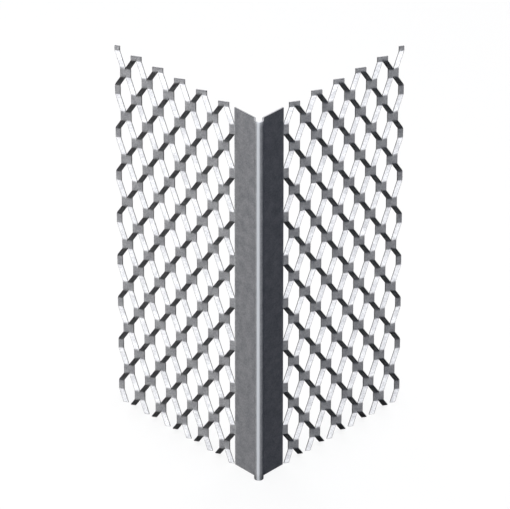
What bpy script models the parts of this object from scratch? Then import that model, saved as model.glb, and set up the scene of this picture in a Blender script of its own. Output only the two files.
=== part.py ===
"""Expanded metal corner bead for plaster, folded from one sheet of galvanised steel.

A rounded nose takes the trowel, a solid web runs along each side of it, and beyond each web
the sheet is slit and stretched into a mesh wing that the plaster grips. Metres, +Z along the
bead. The wings point to +X and +Y, and the nose faces away from them.
"""

import math

import bmesh
import bpy
from mathutils import Vector

# The bead
LENGTH = 0.095
SHEET_THICKNESS = 0.0004
INCLUDED_ANGLE = math.radians(84.6)  # under 90 degrees, so the wing edges press on the wall

# The nose, whose sides run back into the webs
NOSE_RADIUS = 0.00112
NOSE_PROUD = 0.0015  # from the line where the planes of the wings meet to the nose's front
NOSE_FACETS = 6  # in a quarter turn
WEB_BEND_RADIUS = 0.0007
WEB_BEND_FACETS = 3

# The web and the mesh. A column is a line of bonds, where two strands were left joined.
WEB_WIDTH = 0.0082  # from the line where the wings meet to the first slit
STRANDS = 11  # across each wing
COLUMN_SPACING = 0.0038
PITCH = 0.0114  # from bond to bond in one column
BOND_LENGTH = 0.0022
STRAND_WIDTH = 0.00131
STRAND_TILT = math.radians(31.5)  # how far the stretching turned the strands out of the wing
STRAND_BEND_RUN = 0.00035  # length of the bend by which a strand leaves a bond

GALVANISED_COLOUR = (0.42, 0.43, 0.45, 1.0)
GALVANISED_METALLIC = 0.85
GALVANISED_ROUGHNESS = 0.48

HALF_ANGLE = INCLUDED_ANGLE / 2
ALONG_WING = Vector((math.sin(HALF_ANGLE), math.cos(HALF_ANGLE), 0))
OUT_OF_WING = Vector((math.cos(HALF_ANGLE), -math.sin(HALF_ANGLE), 0))
ACROSS_STRAND = math.cos(STRAND_TILT) * ALONG_WING + math.sin(STRAND_TILT) * OUT_OF_WING
STRAND_RUN = PITCH / 2 - BOND_LENGTH


def clear_scene():
    for obj in list(bpy.data.objects):
        bpy.data.objects.remove(obj)


def new_collection(name):
    collection = bpy.data.collections.new(name)
    bpy.context.scene.collection.children.link(collection)
    return collection


def galvanised_steel():
    material = bpy.data.materials.new("galvanised_steel")
    material.use_nodes = True
    shader = material.node_tree.nodes["Principled BSDF"]
    shader.inputs["Base Color"].default_value = GALVANISED_COLOUR
    shader.inputs["Metallic"].default_value = GALVANISED_METALLIC
    shader.inputs["Roughness"].default_value = GALVANISED_ROUGHNESS
    return material


def arc(centre, radius, start, end, facets):
    """Points on an arc in the XY plane, from one angle to another."""
    angles = [start + (end - start) * i / facets for i in range(facets + 1)]
    return [centre + radius * Vector((math.cos(a), math.sin(a), 0)) for a in angles]


def nose_and_web():
    """The middle of the sheet in plan, from the front of the nose to the web's outer edge."""
    radius = NOSE_RADIUS - SHEET_THICKNESS / 2
    nose = arc(Vector((0, NOSE_RADIUS - NOSE_PROUD, 0)), radius, -math.pi / 2, 0, NOSE_FACETS)
    corner = Vector((radius, radius / math.tan(HALF_ANGLE), 0))
    tangent = WEB_BEND_RADIUS * math.tan(HALF_ANGLE / 2)
    bend_centre = corner + Vector((WEB_BEND_RADIUS, -tangent, 0))
    bend = arc(bend_centre, WEB_BEND_RADIUS, math.pi, math.pi - HALF_ANGLE, WEB_BEND_FACETS)
    return nose + bend + [WEB_WIDTH * ALONG_WING]


def from_bond(column, height):
    """Distance along the bead to the nearest bond of a column, from its middle.

    The top end cuts through the middle of the bonds of the odd columns.
    """
    first = LENGTH if column % 2 else LENGTH - PITCH / 2
    return abs((first - height + PITCH / 2) % PITCH - PITCH / 2)


def on_column(column):
    return (WEB_WIDTH + column * COLUMN_SPACING) * ALONG_WING


def share_across(run):
    """How far a strand has swung, from 0 at its outer bond to 1 at its inner one.

    The run is the height gone since the outer bond. Each end is a short bend, and the stretch
    between the bends is straight.
    """
    run = min(max(run, 0), STRAND_RUN)
    if run > STRAND_RUN / 2:
        return 1 - share_across(STRAND_RUN - run)
    slope = 1 / (STRAND_RUN - STRAND_BEND_RUN)
    if run < STRAND_BEND_RUN:
        return slope * run**2 / (2 * STRAND_BEND_RUN)
    return slope * (run - STRAND_BEND_RUN / 2)


def on_strand(strand, outer, height):
    """A point on an edge of a strand, which swings from one column's bonds to the next's."""
    half = STRAND_WIDTH / 2 * ACROSS_STRAND
    inner_end = on_column(strand - 1) + half
    outer_end = on_column(strand) - half
    run = from_bond(strand, height) - BOND_LENGTH / 2
    middle = outer_end.lerp(inner_end, share_across(run))
    return middle + (half if outer else -half)


def row_heights():
    """Heights where the sheet's rows lie, from above the top end to below the bottom end.

    Each row of bonds has four: its own two edges, and the far ends of the bends beside them.
    """
    edge = BOND_LENGTH / 2
    bend_end = edge + STRAND_BEND_RUN
    heights = []
    middle = LENGTH
    while middle > -PITCH / 2:
        heights += [middle + step for step in (bend_end, edge, -edge, -bend_end)]
        middle -= PITCH / 2
    return heights


def flat_grid(lines, rows):
    """A grid whose corners carry their own line and row number as x and y."""
    grid = bmesh.new()
    bmesh.ops.create_grid(grid, x_segments=lines, y_segments=rows, size=0.5)
    for vertex in grid.verts:
        vertex.co.x = round((vertex.co.x + 0.5) * lines)
        vertex.co.y = round((vertex.co.y + 0.5) * rows)
    return grid


def cut_slits(grid, web_edge, heights):
    """Slits the grid along its columns, everywhere but at their bonds."""
    slits = []
    for edge in grid.edges:
        start, end = (vertex.co for vertex in edge.verts)
        column = start.x - web_edge
        if start.x != end.x or not 0 <= column < STRANDS:
            continue
        height = (heights[int(start.y)] + heights[int(end.y)]) / 2
        if from_bond(column, height) > BOND_LENGTH / 2:
            slits.append(edge)
    bmesh.ops.split_edges(grid, edges=slits)


def join_solid_strips(grid, web_edge, last_row):
    """Makes each strip of the nose and the web one face, because only the mesh needs the rows."""
    for line in range(web_edge):
        strip = [face for face in grid.faces if math.floor(face.calc_center_median().x) == line]
        bmesh.ops.dissolve_faces(grid, faces=strip)
    spare = [
        vertex
        for vertex in grid.verts
        if vertex.co.x <= web_edge and 0 < vertex.co.y < last_row and len(vertex.link_edges) == 2
    ]
    bmesh.ops.dissolve_verts(grid, verts=spare)


def half_sheet():
    """The middle surface of the bead's +X half: slit, stretched and folded from a flat grid."""
    profile = nose_and_web()
    heights = row_heights()
    web_edge = len(profile) - 1
    last_row = len(heights) - 1
    sheet = flat_grid(web_edge + STRANDS, last_row)
    cut_slits(sheet, web_edge, heights)
    join_solid_strips(sheet, web_edge, last_row)

    places = []
    for vertex in sheet.verts:
        line, height = int(vertex.co.x), heights[int(vertex.co.y)]
        strand = max(math.ceil(face.calc_center_median().x) for face in vertex.link_faces) - web_edge
        if strand > 0:
            place = on_strand(strand, line - web_edge == strand, height)
        else:
            place = profile[line].copy()
        place.z = height
        places.append(place)
    for vertex, place in zip(sheet.verts, places):
        vertex.co = place
    return sheet


def end_cutter(collection):
    """The space between the two saw cuts that the bead's ends are cut to."""
    mesh = bpy.data.meshes.new("between_the_end_cuts")
    box = bmesh.new()
    bmesh.ops.create_cube(box, size=1)
    reach = 4 * (WEB_WIDTH + STRANDS * COLUMN_SPACING)
    bmesh.ops.scale(box, vec=(reach, reach, LENGTH), verts=box.verts)
    bmesh.ops.translate(box, vec=(0, 0, LENGTH / 2), verts=box.verts)
    box.to_mesh(mesh)
    box.free()
    cutter = bpy.data.objects.new("between_the_end_cuts", mesh)
    cutter.display_type = "WIRE"
    cutter.hide_render = True
    collection.objects.link(cutter)
    return cutter


def corner_bead(collection, cutter):
    sheet = half_sheet()
    bmesh.ops.recalc_face_normals(sheet, faces=sheet.faces)
    mesh = bpy.data.meshes.new("corner_bead")
    sheet.to_mesh(mesh)
    sheet.free()
    mesh.materials.append(galvanised_steel())
    bead = bpy.data.objects.new("corner_bead", mesh)
    bead.rotation_euler.z = -math.pi / 4
    collection.objects.link(bead)

    mirror = bead.modifiers.new("both_halves", "MIRROR")
    mirror.merge_threshold = 0.00001
    thickness = bead.modifiers.new("sheet_thickness", "SOLIDIFY")
    thickness.thickness = SHEET_THICKNESS
    thickness.offset = 0
    thickness.use_even_offset = True
    ends = bead.modifiers.new("end_cuts", "BOOLEAN")
    ends.operation = "INTERSECT"
    ends.object = cutter
    return bead


def centre_on_origin(bead):
    """Moves the bead so that its box stands centred over the origin."""
    bpy.context.view_layer.update()
    evaluated = bead.evaluated_get(bpy.context.evaluated_depsgraph_get())
    points = [evaluated.matrix_world @ vertex.co for vertex in evaluated.data.vertices]
    for axis in range(2):
        values = [point[axis] for point in points]
        bead.location[axis] -= (min(values) + max(values)) / 2


def main():
    clear_scene()
    cutter = end_cutter(new_collection("cutters"))
    bead = corner_bead(new_collection("expanded_metal_corner_bead"), cutter)
    centre_on_origin(bead)


main()
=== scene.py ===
"""Render of an expanded metal corner bead: matt galvanised sheet, slit, stretched and folded.

The bead is made the way the factory makes it. A flat grid is slit along the columns of the mesh,
its strands are swung apart and tilted, and the sheet is folded at the nose. It is then given its
thickness, sawn to length and rounded at its sheared edges. Metres, +Z along the bead.
"""

import math

import bmesh
import bpy
from mathutils import Matrix, Vector


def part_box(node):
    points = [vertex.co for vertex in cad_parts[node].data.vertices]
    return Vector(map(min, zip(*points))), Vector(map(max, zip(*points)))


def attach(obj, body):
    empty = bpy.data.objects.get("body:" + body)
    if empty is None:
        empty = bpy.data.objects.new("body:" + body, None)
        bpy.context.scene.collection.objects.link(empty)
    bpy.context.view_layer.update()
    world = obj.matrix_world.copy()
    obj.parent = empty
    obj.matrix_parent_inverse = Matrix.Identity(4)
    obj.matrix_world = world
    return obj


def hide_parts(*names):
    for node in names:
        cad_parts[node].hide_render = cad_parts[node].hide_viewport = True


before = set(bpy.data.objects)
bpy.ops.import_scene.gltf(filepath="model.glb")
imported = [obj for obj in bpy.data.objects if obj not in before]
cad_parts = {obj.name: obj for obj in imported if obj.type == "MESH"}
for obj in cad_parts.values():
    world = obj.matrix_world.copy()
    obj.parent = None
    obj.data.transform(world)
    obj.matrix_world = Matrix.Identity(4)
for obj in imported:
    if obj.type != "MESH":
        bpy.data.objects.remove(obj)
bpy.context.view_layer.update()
bead_low, bead_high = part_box("corner_bead")

# The bead's sheet
LENGTH = bead_high.z - bead_low.z
SHEET_THICKNESS = 0.0004
INCLUDED_ANGLE = math.radians(84.6)
EDGE_ROUNDING = 0.00008
EDGE_ROUNDING_STEPS = 3
SAME_PLACE = 0.00002  # vertices of the two halves that lie closer than this become one
ON_SAW_CUT = 0.0000008  # vertices that lie closer than this to a saw cut count as on it

# The nose, whose sides run back and bend into the webs
NOSE_RADIUS = 0.00112
NOSE_PROUD = 0.0015  # from the line where the planes of the wings meet to the nose's front
NOSE_FACETS = 14  # in a quarter turn
WEB_BEND_RADIUS = 0.0007
WEB_BEND_FACETS = 6

# The web and the mesh. A column is a line of bonds, where two strands were left joined.
WEB_WIDTH = 0.0082  # from the line where the wings meet to the first slit
WEB_BORDER = 0.00012  # a narrow row of faces that keeps the rest of the web flat
STRANDS = 11  # across each wing
COLUMN_SPACING = 0.0038
PITCH = 0.0114  # from bond to bond in one column
BOND_LENGTH = 0.0022
STRAND_WIDTH = 0.00131
STRAND_TILT = math.radians(31.5)
STRAND_BEND_RUN = 0.00035  # length of the bend by which a strand leaves a bond
STRAND_BEND_ROWS = 4

HALF_ANGLE = INCLUDED_ANGLE / 2
ALONG_WING = Vector((math.sin(HALF_ANGLE), math.cos(HALF_ANGLE), 0))
OUT_OF_WING = Vector((math.cos(HALF_ANGLE), -math.sin(HALF_ANGLE), 0))
ACROSS_STRAND = math.cos(STRAND_TILT) * ALONG_WING + math.sin(STRAND_TILT) * OUT_OF_WING
STRAND_RUN = PITCH / 2 - BOND_LENGTH
SMOOTH_UP_TO = math.radians(27)  # joints between faces that are steeper than this stay crisp

# Where the bead stands. The nose faces the camera, down the diagonal between -X and -Y.
DIAGONAL = math.radians(45)
BEAD_TURN = Matrix.Rotation(-DIAGONAL, 4, "Z")
NOSE_BACK = (NOSE_PROUD - NOSE_RADIUS) * math.cos(DIAGONAL)
CORNER_LINE = Vector((bead_low.x + NOSE_RADIUS + NOSE_BACK, bead_low.y + NOSE_RADIUS + NOSE_BACK, 0))
BEAD_PLACE = Matrix.Translation(CORNER_LINE) @ BEAD_TURN
RIGHTWARD = BEAD_TURN @ Vector((1, 0, 0))
NOSE_CENTRE = BEAD_PLACE @ Vector((0, NOSE_RADIUS - NOSE_PROUD, 0))
MESH_START = WEB_WIDTH * math.sin(HALF_ANGLE)  # to each side of the plane of symmetry

# The camera, which looks almost along the plane of symmetry
CAMERA_DISTANCE = 1.274
CAMERA_AZIMUTH = 0.18  # degrees to the right of that plane
CAMERA_ELEVATION = 29.15  # degrees
CAMERA_VIEW_ANGLE = math.radians(5.264)  # across the width of the picture
CAMERA_AIM = Vector((-0.00091, 0, 0.05997))  # right of, behind and above the foot of the corner line

# The zinc skin. A pair of values is for the lowest and the highest of its faint mottle. The web's zinc
# is painted darker than the mesh's: painted shade on one sheet of one zinc.
SHADED_WEB_ZINC = (0.32, 0.325, 0.355, 1), (0.54, 0.543, 0.565, 1)
LIT_MESH_ZINC = (0.52, 0.523, 0.55, 1), (0.875, 0.876, 0.89, 1)
ZINC_ROUGHNESS = 0.44, 0.58
ZINC_SPECULAR = 0.01  # a matt zinc: all but no sheen on top of its colour
BROAD_MOTTLE = {"size": 0.0022, "detail": 4}
FINE_MOTTLE = {"size": 0.0004, "detail": 2}
NOISE_RANGE = 0.3, 0.7  # where nearly all values of a noise texture lie
MOTTLE_RELIEF = {"Strength": 0.3, "Distance": 0.00002}

# The nose's painted highlight, with a metal sheen: most along its crest, less on a wider band and at
# its rims
HIGHLIGHT_ZINC = (0.775, 0.80, 0.845, 1)
SHEEN_METALLIC = 0.6
CREST_SHARE = 0.7  # of the painted highlight that is kept to the crest
RIM_SHARE = 0.45  # how strongly the painted highlight lightens the rims of the nose's two ends
CREST_TURN = math.radians(-9)  # from the nose's front to the middle of the crest
CREST_START = 0.9 * NOSE_RADIUS  # how far ahead of the nose's centre the crest starts
FLANK_TURN = math.radians(4)
FLANK_START = 0.45 * NOSE_RADIUS

# The cut faces
SHEARED_STEEL = (0.075, 0.075, 0.08, 1)
SAWN_STEEL = (0.24, 0.24, 0.25, 1)
CUT_ROUGHNESS = 0.6
CUT_SPECULAR = 0.05

# The white page that the bead stands on. The lamps light a part of it, so it keeps a soft shadow.
PAGE_HALF_SIDE = 3
PAGE_COLOUR = (0.22, 0.22, 0.22, 1)
PAGE_GLOW = 0.52
PAGE_BOUNCE = (0.001, 0.001, 0.001, 1)  # what it throws back onto the bead
WHITE = (1, 1, 1, 1)
SKY = (0.004, 0.004, 0.005, 1)

# The four weak lamps, two at the back and two at the sides
FILL_LAMP = {"distance": 1.2, "size": 0.6}
LAMP_WHITE = (1, 1, 1)
LAMP_BLUE = (0.3, 0.5, 1)

# Surface kinds, which are also the places of their finishes in the bead's list
SKIN, SHEARED, SAWN = range(3)

# Places of the sockets of a Mix node that mixes colours
MIX_SHARE, MIX_FIRST, MIX_SECOND, MIX_RESULT = 0, 6, 7, 2


def arc(centre, radius, start, end, facets):
    """Points on an arc in the XY plane, from one angle to another."""
    angles = [start + (end - start) * i / facets for i in range(facets + 1)]
    return [centre + radius * Vector((math.cos(a), math.sin(a), 0)) for a in angles]


def nose_and_web():
    """The middle of the sheet in plan, from the front of the nose to the web's outer edge."""
    radius = NOSE_RADIUS - SHEET_THICKNESS / 2
    nose = arc(Vector((0, NOSE_RADIUS - NOSE_PROUD, 0)), radius, -math.pi / 2, 0, NOSE_FACETS)
    corner = Vector((radius, radius / math.tan(HALF_ANGLE), 0))
    tangent = WEB_BEND_RADIUS * math.tan(HALF_ANGLE / 2)
    bend_centre = corner + Vector((WEB_BEND_RADIUS, -tangent, 0))
    bend = arc(bend_centre, WEB_BEND_RADIUS, math.pi, math.pi - HALF_ANGLE, WEB_BEND_FACETS)
    return nose + bend + [(WEB_WIDTH - WEB_BORDER) * ALONG_WING, WEB_WIDTH * ALONG_WING]


def from_bond(column, height):
    """Distance along the bead to the nearest bond of a column, from its middle.

    The top end cuts through the middle of the bonds of the odd columns.
    """
    first = LENGTH if column % 2 else LENGTH - PITCH / 2
    return abs((first - height + PITCH / 2) % PITCH - PITCH / 2)


def on_column(column):
    return (WEB_WIDTH + column * COLUMN_SPACING) * ALONG_WING


def share_across(run):
    """How far a strand has swung, from 0 at its outer bond to 1 at its inner one.

    The run is the height gone since the outer bond. Each end is a short bend, and the stretch
    between the bends is straight.
    """
    run = min(max(run, 0), STRAND_RUN)
    if run > STRAND_RUN / 2:
        return 1 - share_across(STRAND_RUN - run)
    slope = 1 / (STRAND_RUN - STRAND_BEND_RUN)
    if run < STRAND_BEND_RUN:
        return slope * run**2 / (2 * STRAND_BEND_RUN)
    return slope * (run - STRAND_BEND_RUN / 2)


def on_strand(strand, outer, height):
    """A point on an edge of a strand, which swings from one column's bonds to the next's."""
    half = STRAND_WIDTH / 2 * ACROSS_STRAND
    inner_end = on_column(strand - 1) + half
    outer_end = on_column(strand) - half
    run = from_bond(strand, height) - BOND_LENGTH / 2
    middle = outer_end.lerp(inner_end, share_across(run))
    return middle + (half if outer else -half)


def row_heights():
    """Heights where the sheet's rows lie, from above the top end to below the bottom end.

    Each row of bonds has its own two edges and the rows of the bends beside them.
    """
    bend = [STRAND_BEND_RUN * i / STRAND_BEND_ROWS for i in range(STRAND_BEND_ROWS + 1)]
    steps = [BOND_LENGTH / 2 + run for run in bend]
    heights = []
    middle = LENGTH
    while middle > -PITCH / 2:
        heights += [middle + step for step in reversed(steps)]
        heights += [middle - step for step in steps]
        middle -= PITCH / 2
    return heights


def flat_grid(lines, rows):
    """A grid whose corners carry their own line and row number as x and y."""
    grid = bmesh.new()
    bmesh.ops.create_grid(grid, x_segments=lines, y_segments=rows, size=0.5)
    for vertex in grid.verts:
        vertex.co.x = round((vertex.co.x + 0.5) * lines)
        vertex.co.y = round((vertex.co.y + 0.5) * rows)
    return grid


def cut_slits(grid, web_edge, heights):
    """Slits the grid along its columns, everywhere but at their bonds."""
    slits = []
    for edge in grid.edges:
        start, end = (vertex.co for vertex in edge.verts)
        column = start.x - web_edge
        if start.x != end.x or not 0 <= column < STRANDS:
            continue
        height = (heights[int(start.y)] + heights[int(end.y)]) / 2
        if from_bond(column, height) > BOND_LENGTH / 2:
            slits.append(edge)
    bmesh.ops.split_edges(grid, edges=slits)


def half_sheet():
    """The middle surface of the bead's right half: slit, stretched and folded from a flat grid."""
    profile = nose_and_web()
    heights = row_heights()
    web_edge = len(profile) - 1
    sheet = flat_grid(web_edge + STRANDS, len(heights) - 1)
    cut_slits(sheet, web_edge, heights)

    places = []
    for vertex in sheet.verts:
        line, height = int(vertex.co.x), heights[int(vertex.co.y)]
        strand = max(math.ceil(face.calc_center_median().x) for face in vertex.link_faces) - web_edge
        if strand > 0:
            place = on_strand(strand, line - web_edge == strand, height)
        else:
            place = profile[line].copy()
        place.z = height
        places.append(place)
    for vertex, place in zip(sheet.verts, places):
        vertex.co = place
    bmesh.ops.recalc_face_normals(sheet, faces=sheet.faces)
    return sheet


def thick_sheet(finishes):
    """Both halves of the sheet at its full thickness, with its sheared faces marked."""
    sheet = half_sheet()
    mesh = bpy.data.meshes.new("flat_sheet")
    sheet.to_mesh(mesh)
    sheet.free()
    blank = bpy.data.objects.new("flat_sheet", mesh)
    bpy.context.scene.collection.objects.link(blank)
    mirror = blank.modifiers.new("both_halves", "MIRROR")
    mirror.merge_threshold = SAME_PLACE
    thickness = blank.modifiers.new("sheet_thickness", "SOLIDIFY")
    thickness.thickness = SHEET_THICKNESS
    thickness.offset = 0
    thickness.use_even_offset = True
    thickness.material_offset_rim = SHEARED
    for finish in finishes:
        mesh.materials.append(finish)
    evaluated = blank.evaluated_get(bpy.context.evaluated_depsgraph_get())
    solid = bmesh.new()
    solid.from_mesh(evaluated.data)
    bpy.data.objects.remove(blank)
    return solid


def saw_end(solid, height, outward):
    """Saws the sheet off square at a height, and caps the sheet's cut thickness."""
    geometry = solid.verts[:] + solid.edges[:] + solid.faces[:]
    made = bmesh.ops.bisect_plane(
        solid,
        geom=geometry,
        dist=ON_SAW_CUT,
        plane_co=(0, 0, height),
        plane_no=(0, 0, outward),
        clear_outer=True,
    )
    rim = [item for item in made["geom_cut"] if isinstance(item, bmesh.types.BMEdge)]
    for face in bmesh.ops.holes_fill(solid, edges=rim, sides=0)["faces"]:
        face.material_index = SAWN


def round_sheared_edges(solid):
    """Rounds the edges where the sheet's skin meets a cut face, and keeps the ends where sawn."""
    edges = [
        edge
        for edge in solid.edges
        if len(edge.link_faces) == 2
        and edge.link_faces[0].material_index != edge.link_faces[1].material_index
    ]
    bmesh.ops.bevel(
        solid,
        geom=edges,
        offset=EDGE_ROUNDING,
        offset_type="OFFSET",
        affect="EDGES",
        segments=EDGE_ROUNDING_STEPS,
        profile=0.5,
        clamp_overlap=False,
        material=SHEARED,
    )
    for vertex in solid.verts:
        vertex.co.z = min(max(vertex.co.z, 0), LENGTH)


def dressed_bead():
    finishes = bead_finishes()
    solid = thick_sheet(finishes)
    saw_end(solid, LENGTH, 1)
    saw_end(solid, 0, -1)
    round_sheared_edges(solid)
    bmesh.ops.recalc_face_normals(solid, faces=solid.faces)
    bmesh.ops.transform(solid, matrix=BEAD_PLACE, verts=solid.verts)
    mesh = bpy.data.meshes.new("galvanised_bead")
    solid.to_mesh(mesh)
    solid.free()
    mesh.shade_smooth()
    mesh.set_sharp_from_angle(angle=SMOOTH_UP_TO)
    for finish in finishes:
        mesh.materials.append(finish)
    bead = bpy.data.objects.new("galvanised_bead", mesh)
    bpy.context.scene.collection.objects.link(bead)
    flatness = bead.modifiers.new("broad_faces_stay_flat", "WEIGHTED_NORMAL")
    flatness.keep_sharp = True
    depsgraph = bpy.context.evaluated_depsgraph_get()
    bead.data = bpy.data.meshes.new_from_object(bead.evaluated_get(depsgraph))
    bead.modifiers.clear()
    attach(bead, "root")
    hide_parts("corner_bead")
    return bead


class Signal:
    """One output of a node. Python's operators on it add Math nodes to its material."""

    def __init__(self, finish, socket):
        self.finish = finish
        self.socket = socket

    def math(self, operation, first, second):
        return self.finish.node("Math", {"operation": operation}, {0: first, 1: second})

    def __add__(self, other):
        return self.math("ADD", self, other)

    def __radd__(self, other):
        return self.math("ADD", other, self)

    def __sub__(self, other):
        return self.math("SUBTRACT", self, other)

    def __rsub__(self, other):
        return self.math("SUBTRACT", other, self)

    def __mul__(self, other):
        return self.math("MULTIPLY", self, other)

    def __rmul__(self, other):
        return self.math("MULTIPLY", other, self)

    def __abs__(self):
        return self.math("ABSOLUTE", self, 0)


class Finish:
    """A node tree of a material or of the world, and the one way by which nodes get into it."""

    def __init__(self, owner):
        owner.use_nodes = True
        self.tree = owner.node_tree
        self.tree.nodes.clear()

    def node(self, kind, settings, sockets, output=0):
        """Adds a node, sets it up, feeds its sockets and returns one of its outputs."""
        added = self.tree.nodes.new("ShaderNode" + kind)
        for name, value in settings.items():
            setattr(added, name, value)
        for name, value in sockets.items():
            if isinstance(value, Signal):
                self.tree.links.new(value.socket, added.inputs[name])
            else:
                added.inputs[name].default_value = value
        return Signal(self, added.outputs[output]) if added.outputs else None

    def noise(self, place, size, detail):
        """Cloudy noise from 0 to 1 whose patches are about this size."""
        sockets = {"Vector": place, "Scale": 1 / size, "Detail": detail}
        return self.ease(self.node("TexNoise", {}, sockets, "Fac"), *NOISE_RANGE, 0, 1)

    def ease(self, value, low, high, at_low, at_high):
        """A smooth step from one value to another as the input goes from low to high."""
        ends = {"Value": value, "From Min": low, "From Max": high, "To Min": at_low, "To Max": at_high}
        return self.node("MapRange", {"interpolation_type": "SMOOTHSTEP"}, ends)

    def along(self, place, direction):
        """How far a place lies along a direction."""
        settings = {"operation": "DOT_PRODUCT"}
        return self.node("VectorMath", settings, {0: place, 1: direction}, "Value")

    def mix(self, share, first, second):
        """A colour between two others."""
        sockets = {MIX_SHARE: share, MIX_FIRST: first, MIX_SECOND: second}
        return self.node("Mix", {"data_type": "RGBA"}, sockets, MIX_RESULT)


def highlight_band_mask(finish, place, turn, start):
    """1 along a line on the nose, falling to 0 beside it: the mask of a painted highlight.

    The turn leads from the nose's front to the line, and the start is how far ahead of the
    nose's centre the band starts.
    """
    direction = BEAD_TURN @ Vector((math.sin(turn), -math.cos(turn), 0))
    ahead = finish.along(place, direction) - direction.dot(NOSE_CENTRE)
    return finish.ease(ahead, start, NOSE_RADIUS, 0, 1)


def zinc_skin():
    material = bpy.data.materials.new("zinc_skin")
    finish = Finish(material)
    place = finish.node("TexCoord", {}, {}, "Object")
    sideways = abs(finish.along(place, RIGHTWARD))
    lit_mesh = finish.ease(sideways, MESH_START - EDGE_ROUNDING, MESH_START, 0, 1)
    crest = highlight_band_mask(finish, place, CREST_TURN, CREST_START)
    flanks = highlight_band_mask(finish, place, FLANK_TURN, FLANK_START)
    # The nose's lighter colour is a painted highlight; its metallic share is a real sheen.
    nose_highlight = CREST_SHARE * crest + (1 - CREST_SHARE) * flanks
    clouds = 0.5 * finish.noise(place, **BROAD_MOTTLE) + 0.5 * finish.noise(place, **FINE_MOTTLE)
    # The web's darker zinc is painted shade.
    zinc = finish.mix(lit_mesh, finish.mix(clouds, *SHADED_WEB_ZINC), finish.mix(clouds, *LIT_MESH_ZINC))
    smoothest, roughest = ZINC_ROUGHNESS
    relief = finish.node("Bump", {}, {**MOTTLE_RELIEF, "Height": clouds})
    skin = finish.node(
        "BsdfPrincipled",
        {},
        {
            "Base Color": finish.mix(nose_highlight, zinc, HIGHLIGHT_ZINC),
            "Metallic": nose_highlight * SHEEN_METALLIC,
            "Roughness": smoothest + (roughest - smoothest) * clouds,
            "Specular IOR Level": ZINC_SPECULAR,
            "Normal": relief,
        },
    )
    finish.node("OutputMaterial", {}, {"Surface": skin})
    return material


def cut_steel(name, colour):
    """The dull steel of a cut face, with a painted highlight on the rim of the nose."""
    material = bpy.data.materials.new(name)
    finish = Finish(material)
    place = finish.node("TexCoord", {}, {}, "Object")
    # A painted highlight on the cut rims of the nose.
    rim_highlight = RIM_SHARE * highlight_band_mask(finish, place, FLANK_TURN, FLANK_START)
    steel = finish.node(
        "BsdfPrincipled",
        {},
        {
            "Base Color": finish.mix(rim_highlight, colour, HIGHLIGHT_ZINC),
            "Roughness": CUT_ROUGHNESS,
            "Specular IOR Level": CUT_SPECULAR,
        },
    )
    finish.node("OutputMaterial", {}, {"Surface": steel})
    return material


def bead_finishes():
    """The bead's finishes, in the order of the surface kinds."""
    sheared = cut_steel("sheared_steel", SHEARED_STEEL)
    sawn = cut_steel("sawn_steel", SAWN_STEEL)
    return [zinc_skin(), sheared, sawn]


def white_page(finish):
    """1 for the rays that see the white page behind the bead: camera, glossy and transmission."""
    kinds = ("Is Camera Ray", "Is Glossy Ray", "Is Transmission Ray")
    camera, glossy, transmission = (finish.node("LightPath", {}, {}, kind) for kind in kinds)
    return camera + glossy + transmission


def studio_world():
    world = bpy.data.worlds.new("studio")
    bpy.context.scene.world = world
    finish = Finish(world)
    light = finish.node("Background", {}, {"Color": finish.mix(white_page(finish), SKY, WHITE)})
    finish.node("OutputWorld", {}, {"Surface": light})


def floor():
    mesh = bpy.data.meshes.new("floor")
    plane = bmesh.new()
    bmesh.ops.create_grid(plane, x_segments=1, y_segments=1, size=PAGE_HALF_SIDE)
    plane.to_mesh(mesh)
    plane.free()
    material = bpy.data.materials.new("white_page")
    finish = Finish(material)
    bounce = finish.node("BsdfDiffuse", {}, {"Color": PAGE_BOUNCE})
    page = finish.node("BsdfDiffuse", {}, {"Color": PAGE_COLOUR})
    glow = finish.node("Emission", {}, {"Strength": PAGE_GLOW})
    shown = finish.node("AddShader", {}, {0: page, 1: glow})
    surface = finish.node("MixShader", {}, {0: white_page(finish), 1: bounce, 2: shown})
    finish.node("OutputMaterial", {}, {"Surface": surface})
    mesh.materials.append(material)
    ground = bpy.data.objects.new("floor", mesh)
    bpy.context.scene.collection.objects.link(ground)


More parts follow.
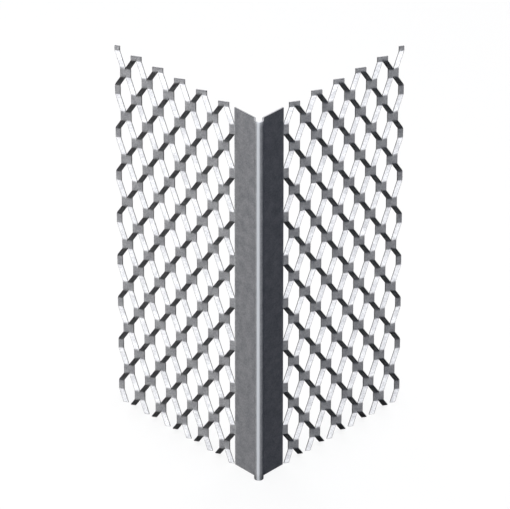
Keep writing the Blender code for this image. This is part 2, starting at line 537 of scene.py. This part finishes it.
def seen_from(azimuth, elevation):
    """The direction towards something, by degrees to the right of the camera's side and up."""
    turn, lift = math.radians(azimuth), math.radians(elevation)
    level = Vector((math.sin(turn), -math.cos(turn), 0)) * math.cos(lift)
    return BEAD_TURN @ (level + Vector((0, 0, math.sin(lift))))


def lamp(name, azimuth, elevation, distance, size, level, casts_shadow=True, colour=LAMP_WHITE):
    """A square soft lamp. A white surface that faces it renders at its level."""
    data = bpy.data.lights.new(name, "AREA")
    data.size = size
    data.color = colour
    data.energy = level * (math.pi * distance) ** 2
    data.use_shadow = casts_shadow
    obj = bpy.data.objects.new(name, data)
    direction = seen_from(azimuth, elevation)
    obj.location = CORNER_LINE + Vector((0, 0, LENGTH / 2)) + direction * distance
    obj.rotation_euler = direction.to_track_quat("Z", "Y").to_euler()
    bpy.context.scene.collection.objects.link(obj)


def camera():
    data = bpy.data.cameras.new("camera")
    data.sensor_fit = "HORIZONTAL"
    data.angle = CAMERA_VIEW_ANGLE
    obj = bpy.data.objects.new("camera", data)
    direction = seen_from(CAMERA_AZIMUTH, CAMERA_ELEVATION)
    obj.location = BEAD_PLACE @ CAMERA_AIM + direction * CAMERA_DISTANCE
    obj.rotation_euler = direction.to_track_quat("Z", "Y").to_euler()
    bpy.context.scene.collection.objects.link(obj)
    bpy.context.scene.camera = obj


def studio_lamps():
    """The main lamp and the two side fills cast no shadow, so they light every bond alike.

    The low one on the left stands for the light that a white page throws up.
    """
    lamp("key", azimuth=-45, elevation=77, distance=1.8, size=0.6, level=1.76, casts_shadow=False)
    lamp("overhead", azimuth=0, elevation=85, distance=1.5, size=0.4, level=0.4)
    lamp("back_left", azimuth=-155, elevation=45, level=0.22, **FILL_LAMP)
    lamp("back_right", azimuth=155, elevation=45, level=0.22, **FILL_LAMP)
    side = {"casts_shadow": False, **FILL_LAMP}
    lamp("low_left", azimuth=-80, elevation=-20, level=0.063, **side)
    lamp("sky_right", azimuth=60, elevation=50, level=0.05, colour=LAMP_BLUE, **side)


dressed_bead()
floor()
studio_world()
studio_lamps()
camera()
bpy.context.scene.view_settings.view_transform = "Standard"
